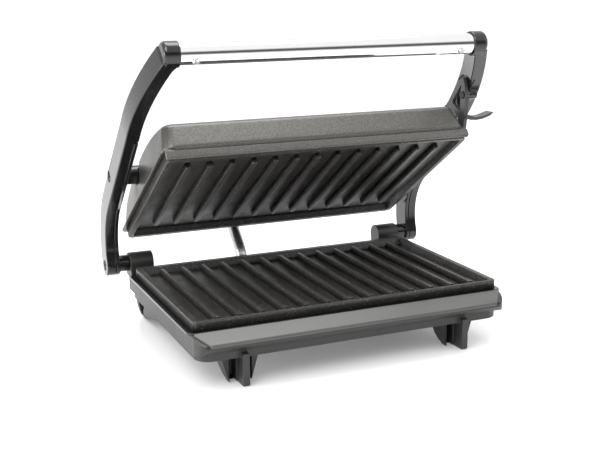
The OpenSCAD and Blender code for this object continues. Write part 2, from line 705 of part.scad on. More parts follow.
// Collar on the back wall that the conduit ends in
module conduit_ferrule() color([0.07, 0.07, 0.07]) tilted() translate([conduit_x, 0, ferrule_z])
    rotate([-90, 0, 0]) difference() {
        union() {
            translate([0, 0, cover_back - 5]) cylinder(r = ferrule_hole, h = 5);
            translate([0, 0, cover_back]) cylinder(r = conduit_r + 0.6, h = 2);
        }
        translate([0, 0, cover_back - 6]) cylinder(r = ferrule_hole - 1, h = 9);
    }

base_housing();
plate_frame();
front_trim();
lower_plate();
lower_heater();
lower_reflector();
lower_insulation();
thermostat();
thermal_fuse();
terminal_block();
supply_gland();
base_screws();
conduit_socket();
conduit();
left_arm_shell();
right_arm_shell();
left_arm_cover();
right_arm_cover();
handle_tube();
handle_screws();
arm_screws();
hinge_pins();
pivot_pins();
latch_pin();
latch();
upper_cover();
upper_plate();
upper_heater();
upper_reflector();
upper_insulation();
pivot_brackets();
bracket_screws();
lamp_power();
lamp_ready();
conduit_ferrule();
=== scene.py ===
"""Panini press: the finished pieces, their materials and the stage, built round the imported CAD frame."""

import json
import math

import bmesh
import bpy
from bpy.props import FloatProperty, FloatVectorProperty, IntProperty, PointerProperty
from mathutils import Matrix, Vector
from mathutils.bvhtree import BVHTree

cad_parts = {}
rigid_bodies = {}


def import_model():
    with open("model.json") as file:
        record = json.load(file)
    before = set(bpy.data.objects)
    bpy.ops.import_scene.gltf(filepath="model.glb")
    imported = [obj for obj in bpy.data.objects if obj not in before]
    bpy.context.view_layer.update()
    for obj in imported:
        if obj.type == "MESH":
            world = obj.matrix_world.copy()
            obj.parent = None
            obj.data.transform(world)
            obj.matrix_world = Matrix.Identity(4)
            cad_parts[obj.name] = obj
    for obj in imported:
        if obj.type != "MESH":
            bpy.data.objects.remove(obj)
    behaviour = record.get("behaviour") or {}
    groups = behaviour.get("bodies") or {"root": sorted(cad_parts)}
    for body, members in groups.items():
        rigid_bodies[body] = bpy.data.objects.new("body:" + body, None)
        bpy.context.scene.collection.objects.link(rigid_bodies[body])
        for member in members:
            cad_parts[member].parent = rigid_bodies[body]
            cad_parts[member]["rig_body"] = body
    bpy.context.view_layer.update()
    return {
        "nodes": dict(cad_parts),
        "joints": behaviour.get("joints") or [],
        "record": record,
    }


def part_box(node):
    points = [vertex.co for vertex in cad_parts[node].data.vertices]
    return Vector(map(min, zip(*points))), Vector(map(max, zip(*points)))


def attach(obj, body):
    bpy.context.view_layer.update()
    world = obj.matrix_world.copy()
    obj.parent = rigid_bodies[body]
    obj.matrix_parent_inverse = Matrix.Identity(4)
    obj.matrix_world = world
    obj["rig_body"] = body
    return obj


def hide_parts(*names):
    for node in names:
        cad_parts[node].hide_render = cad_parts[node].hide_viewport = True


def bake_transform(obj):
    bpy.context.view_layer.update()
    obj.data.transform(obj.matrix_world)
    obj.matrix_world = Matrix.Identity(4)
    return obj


bl_info = {
    "name": "Panini press",
    "version": (1, 0, 0),
    "blender": (4, 5, 0),
    "location": "3D View > Sidebar > Press",
    "description": "Builds the pieces, finishes and stage of a panini press round its CAD frame",
    "category": "Object",
}

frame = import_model()
JOINTS = {joint["name"]: joint for joint in frame["joints"]}
PIVOT = Vector(JOINTS["upper_tilt"]["pos_m"])
MM = 0.001
FLOOR_HALF = 30.0
FLOOR_DROP = 0.2 * MM
SPIKE = 0.7  # share of a rounding's width that a rounded point may stand off the CAD surface
FERRULE_GAP = 0.5 * MM
HOSE_LEAD = 13 * MM  # how far the hose runs on straight from each end
ROUTE_STEPS = 24


# ---------------------------------------------------------------- materials


def new_finish(name, color, roughness, metallic=0.0):
    """A material with its shader; gives the material, its tree, its shader and the object coordinates."""
    material = bpy.data.materials.new(name)
    material.use_nodes = True
    tree = material.node_tree
    shader = tree.nodes["Principled BSDF"]
    shader.inputs["Base Color"].default_value = (*color, 1)
    shader.inputs["Roughness"].default_value = roughness
    shader.inputs["Metallic"].default_value = metallic
    coordinates = tree.nodes.new("ShaderNodeTexCoord").outputs["Object"]
    return material, tree, shader, coordinates


def stretched(tree, coordinates, scale):
    """The coordinates scaled by a vector, for grain that runs along one way."""
    mapping = tree.nodes.new("ShaderNodeMapping")
    mapping.inputs["Scale"].default_value = scale
    tree.links.new(coordinates, mapping.inputs["Vector"])
    return mapping.outputs["Vector"]


def noise(tree, coordinates, scale, detail=2.0, roughness=0.5):
    """Noise with a grain of about 1 / scale metres."""
    node = tree.nodes.new("ShaderNodeTexNoise")
    node.inputs["Scale"].default_value = scale
    node.inputs["Detail"].default_value = detail
    node.inputs["Roughness"].default_value = roughness
    tree.links.new(coordinates, node.inputs["Vector"])
    return node.outputs["Fac"]


def ramp(tree, value, *stops):
    """A colour ramp through (position, grey or colour) stops."""
    node = tree.nodes.new("ShaderNodeValToRGB")
    elements = node.color_ramp.elements
    while len(elements) < len(stops):
        elements.new(0.5)
    for element, (position, color) in zip(elements, stops):
        element.position = position
        element.color = (color, color, color, 1) if isinstance(color, float) else (*color, 1)
    tree.links.new(value, node.inputs["Fac"])
    return node.outputs["Color"]


def bumped(tree, shader, height, distance, strength=1.0):
    """Drives the shader's normal from a height."""
    node = tree.nodes.new("ShaderNodeBump")
    node.inputs["Distance"].default_value = distance
    node.inputs["Strength"].default_value = strength
    tree.links.new(height, node.inputs["Height"])
    tree.links.new(node.outputs["Normal"], shader.inputs["Normal"])


def scaled(color, factor):
    """A colour made lighter or darker."""
    return tuple(min(1.0, c * factor) for c in color)


def metallic_paint(name, color, roughness, grain=1100.0, metallic=0.45):
    """Metallic paint: fine flakes in its colour, a slight orange peel and worn patches in its gloss."""
    material, tree, shader, where = new_finish(name, color, roughness, metallic)
    flakes = noise(tree, where, grain, 3.0, 0.7)
    tree.links.new(ramp(tree, flakes, (0.36, scaled(color, 0.72)), (0.52, color),
                        (0.64, scaled(color, 1.5))), shader.inputs["Base Color"])
    wear = noise(tree, where, 24.0, 4.0)
    tree.links.new(ramp(tree, wear, (0.3, roughness - 0.05), (0.7, roughness + 0.07)),
                   shader.inputs["Roughness"])
    bumped(tree, shader, noise(tree, where, 900.0, 2.0), 0.00002, 0.5)
    shader.inputs["Coat Weight"].default_value = 0.15
    shader.inputs["Coat Roughness"].default_value = 0.2
    return material


def satin_panel(name, color, roughness):
    """Satin silver panel with a faint grain along its length."""
    material, tree, shader, where = new_finish(name, color, roughness, 0.5)
    grain = noise(tree, stretched(tree, where, (25, 2200, 2200)), 1.0, 3.0)
    tree.links.new(ramp(tree, grain, (0.3, scaled(color, 0.88)), (0.7, scaled(color, 1.1))),
                   shader.inputs["Base Color"])
    tree.links.new(ramp(tree, grain, (0.3, roughness - 0.04), (0.7, roughness + 0.06)),
                   shader.inputs["Roughness"])
    bumped(tree, shader, grain, 0.00001, 0.4)
    return material


def textured_plastic(name, color, roughness, grain=1100.0, depth=0.00004):
    """Moulded plastic with a fine eroded texture."""
    material, tree, shader, where = new_finish(name, color, roughness)
    texture = noise(tree, where, grain, 3.0, 0.6)
    tree.links.new(ramp(tree, texture, (0.3, scaled(color, 0.85)), (0.7, scaled(color, 1.2))),
                   shader.inputs["Base Color"])
    patches = noise(tree, where, 18.0, 3.0)
    tree.links.new(ramp(tree, patches, (0.3, roughness - 0.05), (0.7, roughness + 0.06)),
                   shader.inputs["Roughness"])
    bumped(tree, shader, texture, depth, 0.6)
    return material


def polished_plastic(name, color, roughness):
    """Polished black moulding with faint ripples from the mould and hand marks in its gloss."""
    material, tree, shader, where = new_finish(name, color, roughness)
    marks = noise(tree, where, 40.0, 5.0, 0.6)
    tree.links.new(ramp(tree, marks, (0.35, roughness - 0.03), (0.72, roughness + 0.09)),
                   shader.inputs["Roughness"])
    tree.links.new(ramp(tree, noise(tree, where, 300.0, 2.0), (0.3, scaled(color, 0.8)),
                        (0.7, scaled(color, 1.3))), shader.inputs["Base Color"])
    bumped(tree, shader, noise(tree, where, 60.0, 1.0), 0.00008, 0.25)
    shader.inputs["Coat Weight"].default_value = 0.3
    shader.inputs["Coat Roughness"].default_value = 0.06
    return material


def speckled_coating(name, color, roughness):
    """Non-stick coating: near-black with pale specks, a pebbled skin and drier patches."""
    material, tree, shader, where = new_finish(name, color, roughness)
    specks = tree.nodes.new("ShaderNodeTexVoronoi")
    specks.inputs["Scale"].default_value = 820.0
    tree.links.new(where, specks.inputs["Vector"])
    dots = ramp(tree, specks.outputs["Distance"], (0.18, scaled(color, 8.0)), (0.3, color))
    amount = ramp(tree, noise(tree, where, 420.0, 1.0), (0.42, 0.0), (0.55, 1.0))
    mix = tree.nodes.new("ShaderNodeMix")
    mix.data_type = "RGBA"
    tree.links.new(amount, mix.inputs["Factor"])
    tree.links.new(ramp(tree, noise(tree, where, 90.0, 3.0), (0.3, scaled(color, 0.75)),
                        (0.7, scaled(color, 1.35))), mix.inputs["A"])
    tree.links.new(dots, mix.inputs["B"])
    tree.links.new(mix.outputs["Result"], shader.inputs["Base Color"])
    tree.links.new(ramp(tree, noise(tree, where, 55.0, 4.0), (0.3, roughness - 0.06),
                        (0.7, roughness + 0.1)), shader.inputs["Roughness"])
    bumped(tree, shader, noise(tree, where, 800.0, 2.0), 0.00006, 0.55)
    return material


def bright_metal(name, color, roughness, grain=(900, 12, 12), depth=0.000004, tarnish=0.9):
    """Bare metal with drawing lines along or round it and slight tarnish."""
    material, tree, shader, where = new_finish(name, color, roughness, 1.0)
    lines = noise(tree, stretched(tree, where, grain), 1.0, 3.0)
    tree.links.new(ramp(tree, noise(tree, where, 60.0, 4.0), (0.3, scaled(color, tarnish)),
                        (0.7, color)), shader.inputs["Base Color"])
    tree.links.new(ramp(tree, lines, (0.3, max(0.02, roughness - 0.04)), (0.7, roughness + 0.05)),
                   shader.inputs["Roughness"])
    bumped(tree, shader, lines, depth, 0.4)
    return material


def pressed_fibre(name, color):
    """Needled mineral fibre mat."""
    material, tree, shader, where = new_finish(name, color, 0.95)
    fibres = noise(tree, stretched(tree, where, (300, 1600, 900)), 1.0, 5.0, 0.75)
    tree.links.new(ramp(tree, fibres, (0.3, scaled(color, 0.65)), (0.65, color)),
                   shader.inputs["Base Color"])
    bumped(tree, shader, fibres, 0.0004)
    return material


def tinted_lens(name, color):
    """Moulded lamp lens: deep colour under a clear gloss."""
    material, tree, shader, where = new_finish(name, color, 0.12)
    flutes = tree.nodes.new("ShaderNodeTexWave")
    flutes.inputs["Scale"].default_value = 260.0
    tree.links.new(where, flutes.inputs["Vector"])
    tree.links.new(ramp(tree, flutes.outputs["Fac"], (0.2, scaled(color, 0.6)), (0.8, color)),
                   shader.inputs["Base Color"])
    bumped(tree, shader, flutes.outputs["Fac"], 0.0001, 0.4)
    shader.inputs["Coat Weight"].default_value = 1.0
    shader.inputs["Coat Roughness"].default_value = 0.03
    return material


FINISHES = {}


def finish(slot):
    """The material of a slot of the record, made the first time it is asked for."""
    colors = bpy.context.scene.press_finish
    makers = {
        "base_moulding": lambda: textured_plastic(slot, colors.moulding, 0.42),
        "black_enamel": lambda: polished_plastic(slot, colors.enamel, 0.2),
        "silver_trim": lambda: satin_panel(slot, colors.trim, 0.4),
        "non_stick": lambda: speckled_coating(slot, colors.coating, 0.4),
        "heater_sheath": lambda: bright_metal(slot, (0.3, 0.26, 0.22), 0.45, (40, 900, 900)),
        "aluminised_sheet": lambda: bright_metal(slot, (0.74, 0.74, 0.75), 0.3, (10, 900, 900)),
        "fibre_mat": lambda: pressed_fibre(slot, (0.82, 0.8, 0.74)),
        "ceramic": lambda: textured_plastic(slot, (0.84, 0.8, 0.7), 0.7, 700.0),
        "pale_plastic": lambda: textured_plastic(slot, (0.85, 0.85, 0.8), 0.5),
        "gland_rubber": lambda: textured_plastic(slot, (0.022, 0.022, 0.022), 0.62, 1400.0),
        "zinc_steel": lambda: bright_metal(slot, (0.66, 0.66, 0.64), 0.3, (500, 500, 500)),
        "blackened_steel": lambda: bright_metal(slot, (0.05, 0.05, 0.05), 0.36, (500, 500, 500)),
        "conduit_metal": lambda: bright_metal(slot, (0.55, 0.55, 0.55), 0.3, (300, 300, 900)),
        "black_gloss": lambda: polished_plastic(slot, colors.gloss, 0.16),
        "bright_tube": lambda: bright_metal(slot, colors.tube, 0.07, (6, 1500, 1500), 0.000002, 0.97),
        "latch_plastic": lambda: textured_plastic(slot, colors.latch, 0.3, 900.0, 0.00002),
        "grey_metallic": lambda: metallic_paint(slot, colors.cover, 0.36),
        "red_lens": lambda: tinted_lens(slot, (0.55, 0.02, 0.012)),
        "green_lens": lambda: tinted_lens(slot, (0.02, 0.34, 0.06)),
    }
    if slot not in FINISHES:
        FINISHES[slot] = makers[slot]()
    return FINISHES[slot]


SLOT_OF = {part["node"]: part["material_slot"] for part in frame["record"]["subparts"]}


def body_with(node):
    """The body that a CAD node rides on."""
    return frame["nodes"][node]["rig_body"]


# ---------------------------------------------------------------- mesh helpers


def new_piece(name, mesh, material):
    """An object at the origin for a finished mesh."""
    mesh.name = name
    mesh.materials.clear()
    mesh.materials.append(material)
    piece = bpy.data.objects.new(name, mesh)
    bpy.context.scene.collection.objects.link(piece)
    return piece


def settled(piece):
    """Applies the piece's modifiers, in order."""
    graph = bpy.context.evaluated_depsgraph_get()
    graph.update()
    mesh = bpy.data.meshes.new_from_object(piece.evaluated_get(graph))
    old = piece.data
    piece.modifiers.clear()
    piece.data = mesh
    mesh.name = piece.name
    bpy.data.meshes.remove(old)
    return piece


def evenly_shaded(piece):
    """Smooth shading with normals weighted by area, so that flat faces stay flat between soft edges."""
    piece.data.polygons.foreach_set("use_smooth", [True] * len(piece.data.polygons))
    weighted = piece.modifiers.new("Normals", "WEIGHTED_NORMAL")
    weighted.keep_sharp = False
    return settled(piece)


def placed(piece, node, *more):
    """The piece rides on the body of its CAD node, stands for it and takes its slot."""
    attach(piece, body_with(node))
    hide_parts(node, *more)
    return piece


def clean_copy(node, merge):
    """A copy of a CAD node's mesh with its doubles merged and its flat faces made whole."""
    mesh = frame["nodes"][node].data.copy()
    work = bmesh.new()
    work.from_mesh(mesh)
    bmesh.ops.remove_doubles(work, verts=work.verts, dist=1e-6)
    bmesh.ops.remove_doubles(work, verts=work.verts, dist=merge)
    bmesh.ops.dissolve_limit(work, angle_limit=math.radians(0.5), verts=work.verts, edges=work.edges)
    work.to_mesh(mesh)
    work.free()
    if mesh.has_custom_normals:
        mesh.attributes.remove(mesh.attributes["custom_normal"])
    return mesh


def softened(node, name, width, segments=3, angle=28.0, merge=0.05 * MM):
    """The CAD node's shape with its edges rounded, in place of the node."""
    piece = new_piece(name, clean_copy(node, merge), finish(SLOT_OF[node]))
    surface = BVHTree.FromPolygons([v.co.copy() for v in piece.data.vertices],
                                   [tuple(p.vertices) for p in piece.data.polygons])
    edges = piece.modifiers.new("Edges", "BEVEL")
    edges.width = width
    edges.segments = segments
    edges.limit_method = "ANGLE"
    edges.angle_limit = math.radians(angle)
    edges.use_clamp_overlap = False
    edges.loop_slide = True
    settled(piece)
    for vertex in piece.data.vertices:
        near, _, _, gap = surface.find_nearest(vertex.co)
        if gap > SPIKE * width:
            vertex.co = near
    return placed(evenly_shaded(piece), node)


def lathed(outline, turns=32):
    """A closed solid of revolution about Z from (radius, z) points, from the axis back to the axis."""
    work = bmesh.new()
    rings = []
    for radius, z in outline:
        if radius < 1e-9:
            rings.append([work.verts.new((0, 0, z))])
        else:
            rings.append([work.verts.new((radius * math.cos(a), radius * math.sin(a), z))
                          for a in (2 * math.pi * k / turns for k in range(turns))])
    for low, high in zip(rings, rings[1:]):
        for k in range(turns):
            n = (k + 1) % turns
            corners = [low[k % len(low)], low[n % len(low)], high[n % len(high)], high[k % len(high)]]
            work.faces.new(list(dict.fromkeys(corners)))
    bmesh.ops.recalc_face_normals(work, faces=work.faces)
    mesh = bpy.data.meshes.new("lathed")
    work.to_mesh(mesh)
    work.free()
    return mesh


def box_mesh(low, high):
    """A closed box between two corners."""
    work = bmesh.new()
    bmesh.ops.create_cube(work, size=1)
    low, high = Vector(low), Vector(high)
    for vert in work.verts:
        vert.co = [(high[i] + low[i]) / 2 + vert.co[i] * (high[i] - low[i]) for i in range(3)]
    mesh = bpy.data.meshes.new("box")
    work.to_mesh(mesh)
    work.free()
    return mesh


def rounded_loop(x0, x1, y0, y1, radius, z, arc=6, straight=1):
    """Points round a rectangle with round corners at one height, anticlockwise from above."""
    corners = ((x1 - radius, y0 + radius, -90), (x1 - radius, y1 - radius, 0),
               (x0 + radius, y1 - radius, 90), (x0 + radius, y0 + radius, 180))
    points = []
    for (x, y, start), (next_x, next_y, next_start) in zip(corners, corners[1:] + corners[:1]):
        for k in range(arc + 1):
            a = math.radians(start + 90 * k / arc)
            points.append(Vector((x + radius * math.cos(a), y + radius * math.sin(a), z)))
        a = math.radians(next_start)
        last, target = points[-1], Vector((next_x + radius * math.cos(a), next_y + radius * math.sin(a), z))
        points += [last.lerp(target, k / straight) for k in range(1, straight)]
    return points


def lofted(rings):
    """A closed solid through rings of equally many points, with its first and last ring filled."""
    work = bmesh.new()
    loops = [[work.verts.new(point) for point in ring] for ring in rings]
    for low, high in zip(loops, loops[1:]):
        for k in range(len(low)):
            n = (k + 1) % len(low)
            work.faces.new((low[k], low[n], high[n], high[k]))
    work.faces.new(reversed(loops[0]))
    work.faces.new(loops[-1])
    bmesh.ops.recalc_face_normals(work, faces=work.faces)
    mesh = bpy.data.meshes.new("lofted")
    work.to_mesh(mesh)
    work.free()
    return mesh


def round_over(radius, steps=4):
    """(inset, drop) pairs along a quarter round, from the wall up to the flat top."""
    return [(radius * (1 - math.cos(a)), radius * (1 - math.sin(a)))
            for a in (math.pi / 2 * k / steps for k in range(steps + 1))]


def joined(piece, *meshes):
    """Adds closed meshes to the piece as islands of their own."""
    work = bmesh.new()
    work.from_mesh(piece.data)
    for mesh in meshes:
        work.from_mesh(mesh)
        bpy.data.meshes.remove(mesh)
    work.to_mesh(piece.data)
    work.free()
    return piece


def flat_to_open(mesh, tilt):
    """Turns a mesh drawn flat about the upper half's pivot to its open place."""
    mesh.transform(Matrix.Translation(PIVOT) @ Matrix.Rotation(-tilt, 4, "X"))
    return mesh


def flat_box(node, tilt):
    """A node's lowest and highest corner with the upper half laid flat about its pivot."""
    flat = Matrix.Rotation(tilt, 4, "X") @ Matrix.Translation(-PIVOT)
    points = [flat @ vert.co for vert in frame["nodes"][node].data.vertices]
    return (Vector(min(p[i] for p in points) for i in range(3)),
            Vector(max(p[i] for p in points) for i in range(3)))


def side_prism(outline, x0, x1):
    """A closed prism along X from a (y, z) outline."""
    return lofted([[Vector((x, y, z)) for y, z in outline] for x in (x0, x1)])


def cut(piece, *tools):
    """Cuts the tools' meshes out of the piece."""
    for tool in tools:
        cutter = bpy.data.objects.new("cutter", tool)
        bpy.context.scene.collection.objects.link(cutter)
        modifier = piece.modifiers.new("Cut", "BOOLEAN")
        modifier.operation = "DIFFERENCE"
        modifier.solver = "EXACT"
        modifier.object = cutter
        settled(piece)
        bpy.data.objects.remove(cutter)
    return piece


# ---------------------------------------------------------------- repeated pieces


def new_tree(name, *given, result):
    """A Geometry Nodes tree with named inputs and one geometry output."""
    tree = bpy.data.node_groups.new(name, "GeometryNodeTree")
    for socket, kind in given:
        tree.interface.new_socket(socket, in_out="INPUT", socket_type=f"NodeSocket{kind}")
    tree.interface.new_socket(result, in_out="OUTPUT", socket_type="NodeSocketGeometry")
    return tree


def finished(tree, given, geometry, result):
    """Ends a tree in Realize Instances and Set Material."""
    node, link = tree.nodes.new, tree.links.new
    real, paint = node("GeometryNodeRealizeInstances"), node("GeometryNodeSetMaterial")
    link(geometry, real.inputs["Geometry"])
    link(real.outputs["Geometry"], paint.inputs["Geometry"])
    link(given.outputs["Finish"], paint.inputs["Material"])
    link(paint.outputs["Geometry"], node("NodeGroupOutput").inputs[result])


def screw_tree():
    """Geometry Nodes tree: one screw on each point, turned to the point's own way out."""
    tree = new_tree("Screws", ("Places", "Geometry"), ("Screw", "Object"), ("Finish", "Material"),
                    ("Turn seed", "Int"), result="Screws")
    node, link = tree.nodes.new, tree.links.new
    given = node("NodeGroupInput")
    way = node("GeometryNodeInputNamedAttribute")
    way.data_type = "FLOAT_VECTOR"
    way.inputs["Name"].default_value = "way"
    align = node("FunctionNodeAlignRotationToVector")
    align.axis = "Z"
    turn = node("FunctionNodeRandomValue")
    turn.data_type = "FLOAT"
    turn.inputs[3].default_value = math.pi
    twist = node("FunctionNodeAxisAngleToRotation")
    both = node("FunctionNodeRotateRotation")
    both.rotation_space = "LOCAL"
    screw = node("GeometryNodeObjectInfo")
    instances = node("GeometryNodeInstanceOnPoints")
    link(way.outputs["Attribute"], align.inputs["Vector"])
    link(given.outputs["Turn seed"], turn.inputs["Seed"])
    link(turn.outputs[1], twist.inputs["Angle"])
    link(align.outputs["Rotation"], both.inputs["Rotation"])
    link(twist.outputs["Rotation"], both.inputs["Rotate By"])
    link(given.outputs["Screw"], screw.inputs["Object"])
    link(given.outputs["Places"], instances.inputs["Points"])
    link(screw.outputs["Geometry"], instances.inputs["Instance"])
    link(both.outputs["Rotation"], instances.inputs["Rotation"])
    finished(tree, given, instances.outputs["Instances"], "Screws")
    return tree


def row_tree():
    """Geometry Nodes tree: one piece repeated in a straight row, at an even pitch along X."""
    tree = new_tree("Row of ribs", ("Start", "Geometry"), ("Rib", "Object"), ("Count", "Int"),
                    ("Pitch", "Float"), ("Finish", "Material"), result="Ribs")
    node, link = tree.nodes.new, tree.links.new
    given = node("NodeGroupInput")
    spaces, width, middle = node("ShaderNodeMath"), node("ShaderNodeMath"), node("ShaderNodeMath")
    spaces.operation, width.operation, middle.operation = "SUBTRACT", "MULTIPLY", "MULTIPLY"
    spaces.inputs[1].default_value = 1.0
    middle.inputs[1].default_value = -0.5
    start, step = node("ShaderNodeCombineXYZ"), node("ShaderNodeCombineXYZ")
    line = node("GeometryNodeMeshLine")
    rib = node("GeometryNodeObjectInfo")
    instances = node("GeometryNodeInstanceOnPoints")
    link(given.outputs["Count"], spaces.inputs[0])
    link(spaces.outputs[0], width.inputs[0])
    link(given.outputs["Pitch"], width.inputs[1])
    link(width.outputs[0], middle.inputs[0])
    link(middle.outputs[0], start.inputs["X"])
    link(given.outputs["Pitch"], step.inputs["X"])
    link(given.outputs["Count"], line.inputs["Count"])
    link(start.outputs["Vector"], line.inputs["Start Location"])
    link(step.outputs["Vector"], line.inputs["Offset"])
    link(given.outputs["Rib"], rib.inputs["Object"])
    link(line.outputs["Mesh"], instances.inputs["Points"])
    link(rib.outputs["Geometry"], instances.inputs["Instance"])
    finished(tree, given, instances.outputs["Instances"], "Ribs")
    return tree


def rib_row(name, mesh, slot, count, pitch):
    """Ribs in a row about the middle, from one rib's mesh."""
    sample = new_piece("rib", mesh, finish(slot))
    piece = grown(name, bpy.data.meshes.new("start"), row_tree(), finish(slot), Rib=sample, Count=count,
                  Pitch=pitch, Finish=finish(slot))
    bpy.data.objects.remove(sample)
    return piece


def grown(name, mesh, tree, material, **inputs):
    """A piece made by a tree from a starting mesh; its inputs are given by their names."""
    piece = new_piece(name, mesh, material)
    modifier = piece.modifiers.new("Grown", "NODES")
    modifier.node_group = tree
    for item in tree.interface.items_tree:
        if item.in_out == "INPUT" and item.name in inputs:
            modifier[item.identifier] = inputs[item.name]
    return settled(piece)


def points_mesh(places):
    """A mesh of loose points, each with the way that it faces."""
    mesh = bpy.data.meshes.new("places")
    mesh.from_pydata([place for place, _ in places], [], [])
    ways = mesh.attributes.new("way", "FLOAT_VECTOR", "POINT")
    for item, (_, way) in zip(ways.data, places):
        item.vector = way
    return mesh


def screw_object(shank, head, rise, length, slot):
    """A cross-head screw with its head's underside at z = 0 and its tip at -length."""
    thread = []
    z = -length
    while z < -0.8 * MM:
        thread += [(shank * 0.8, z), (shank, z + 0.25 * MM)]
        z += 0.6 * MM
    outline = [(0, -length - 0.4 * MM), *thread, (shank, 0), (head * 0.96, 0), (head, rise * 0.25),
               (head * 0.94, rise * 0.62), (head * 0.72, rise * 0.9), (head * 0.4, rise), (0, rise)]
    piece = new_piece("screw", lathed(outline), finish(slot))
    arm, half, deep = head * 0.62, head * 0.15, rise * 0.35
    cut(piece, box_mesh((-arm, -half, deep), (arm, half, rise * 2)),
        box_mesh((-half, -arm, deep), (half, arm, rise * 2)))
    return piece


def islands(node):
    """The separate solids of a CAD node, each as a list of its points."""
    work = bmesh.new()
    work.from_mesh(frame["nodes"][node].data)
    bmesh.ops.remove_doubles(work, verts=work.verts, dist=1e-6)
    left, found = set(work.verts), []
    while left:
        group, edge = [], [left.pop()]
        while edge:
            vert = edge.pop()
            group.append(vert.co.copy())
            for link in vert.link_edges:
                other = link.other_vert(vert)
                if other in left:
                    left.remove(other)
                    edge.append(other)
        found.append(group)
    work.free()
    return sorted(found, key=lambda group: tuple(group[0]))


def screws(node, name, way, shank, head, rise, seed):
    """Screws standing for a CAD node, one for each of its solids; way gives the way out of a head from
    the solid's middle."""
    places, length = [], 0
    for group in islands(node):
        middle = sum(group, Vector()) / len(group)
        out = Vector(way(middle)).normalized()
        turn = out.to_track_quat("Z", "Y").to_matrix()
        local = [turn.transposed() @ point for point in group]
        low = Vector(min(p[i] for p in local) for i in range(3))
        high = Vector(max(p[i] for p in local) for i in range(3))
        length = high.z - low.z - rise - 0.4 * MM
        places.append((turn @ Vector(((low.x + high.x) / 2, (low.y + high.y) / 2, high.z - rise)), out))
    sample = screw_object(shank, head, rise, length, SLOT_OF[node])
    piece = grown(name, points_mesh(places), screw_tree(), finish(SLOT_OF[node]), Screw=sample,
                  Finish=finish(SLOT_OF[node]), **{"Turn seed": seed})
    bpy.data.objects.remove(sample)
    return placed(evenly_shaded(piece), node)


def hose_tree():
    """Geometry Nodes tree: a smooth hose along a route, with filled ends."""
    tree = new_tree("Hose", ("Route", "Geometry"), ("Radius", "Float"), ("Sections", "Int"),
                    ("Finish", "Material"), result="Hose")
    node, link = tree.nodes.new, tree.links.new
    given = node("NodeGroupInput")
    route, even = node("GeometryNodeMeshToCurve"), node("GeometryNodeResampleCurve")
    ring, sweep = node("GeometryNodeCurvePrimitiveCircle"), node("GeometryNodeCurveToMesh")
    ring.inputs["Resolution"].default_value = 24
    sweep.inputs["Fill Caps"].default_value = True
    link(given.outputs["Route"], route.inputs["Mesh"])
    link(route.outputs["Curve"], even.inputs["Curve"])
    link(given.outputs["Sections"], even.inputs["Count"])
    link(given.outputs["Radius"], ring.inputs["Radius"])
    link(even.outputs["Curve"], sweep.inputs["Curve"])
    link(ring.outputs["Curve"], sweep.inputs["Profile Curve"])
    finished(tree, given, sweep.outputs["Mesh"], "Hose")
    return tree


def route_mesh(points):
    """A mesh of edges through points."""
    mesh = bpy.data.meshes.new("route")
    mesh.from_pydata(points, [(k, k + 1) for k in range(len(points) - 1)], [])
    return mesh


# ---------------------------------------------------------------- properties


class PressFinish(bpy.types.PropertyGroup):
    """Colours of the visible finishes."""

    cover: FloatVectorProperty(name="Upper cover", description="Metallic paint of the upper cover",
                               subtype="COLOR", min=0, max=1, default=(0.104, 0.101, 0.094))
    trim: FloatVectorProperty(name="Front trim", description="Satin panel along the front of the base",
                              subtype="COLOR", min=0, max=1, default=(0.118, 0.118, 0.113))
    moulding: FloatVectorProperty(name="Base moulding", description="Plastic of the lower housing",
                                  subtype="COLOR", min=0, max=1, default=(0.027, 0.027, 0.026))
    enamel: FloatVectorProperty(name="Plate frame", description="Black frame round the lower plate",
                                subtype="COLOR", min=0, max=1, default=(0.01, 0.01, 0.01))
    gloss: FloatVectorProperty(name="Arms", description="Polished plastic of the arms",
                               subtype="COLOR", min=0, max=1, default=(0.008, 0.008, 0.008))
    coating: FloatVectorProperty(name="Plates", description="Non-stick coating of both plates",
                                 subtype="COLOR", min=0, max=1, default=(0.027, 0.026, 0.024))
    tube: FloatVectorProperty(name="Handle tube", description="Bright metal of the handle",
                              subtype="COLOR", min=0, max=1, default=(0.9, 0.9, 0.9))
    latch: FloatVectorProperty(name="Latch", description="Plastic of the latch",
                               subtype="COLOR", min=0, max=1, default=(0.05, 0.05, 0.05))


class PressSizes(bpy.types.PropertyGroup):
    """Sizes of the softened edges, the ribs and the hose."""

    edge: FloatProperty(name="Moulded edge", description="Rounding of the moulded edges",
                        unit="LENGTH", min=0.0001, max=0.001, default=0.0005)
    cover_edge: FloatProperty(name="Cover edge", description="Rounding along the upper cover's top",
                              unit="LENGTH", min=0.001, max=0.006, default=0.0042)
    tilt: FloatProperty(name="Open tilt", description="Tilt of the upper half in the open frame",
                        subtype="ANGLE", default=math.radians(33.8))
    ribs: IntProperty(name="Ribs", description="Ribs on each plate", min=3, max=15, default=13)
    rib_pitch: FloatProperty(name="Rib pitch", description="Distance between the middles of two ribs",
                             unit="LENGTH", min=0.01, max=0.02, default=0.0164)
    plate_edge: FloatProperty(name="Plate edge", description="Rounding of the cast plates' edges",
                              unit="LENGTH", min=0.0002, max=0.001, default=0.0005)
    hose_radius: FloatProperty(name="Hose radius", description="Radius of the flexible hose",
                               unit="LENGTH", min=0.003, max=0.006, default=0.0048)
    hose_sections: IntProperty(name="Hose sections", description="Cross-sections along each hose piece",
                               min=12, max=120, default=72)


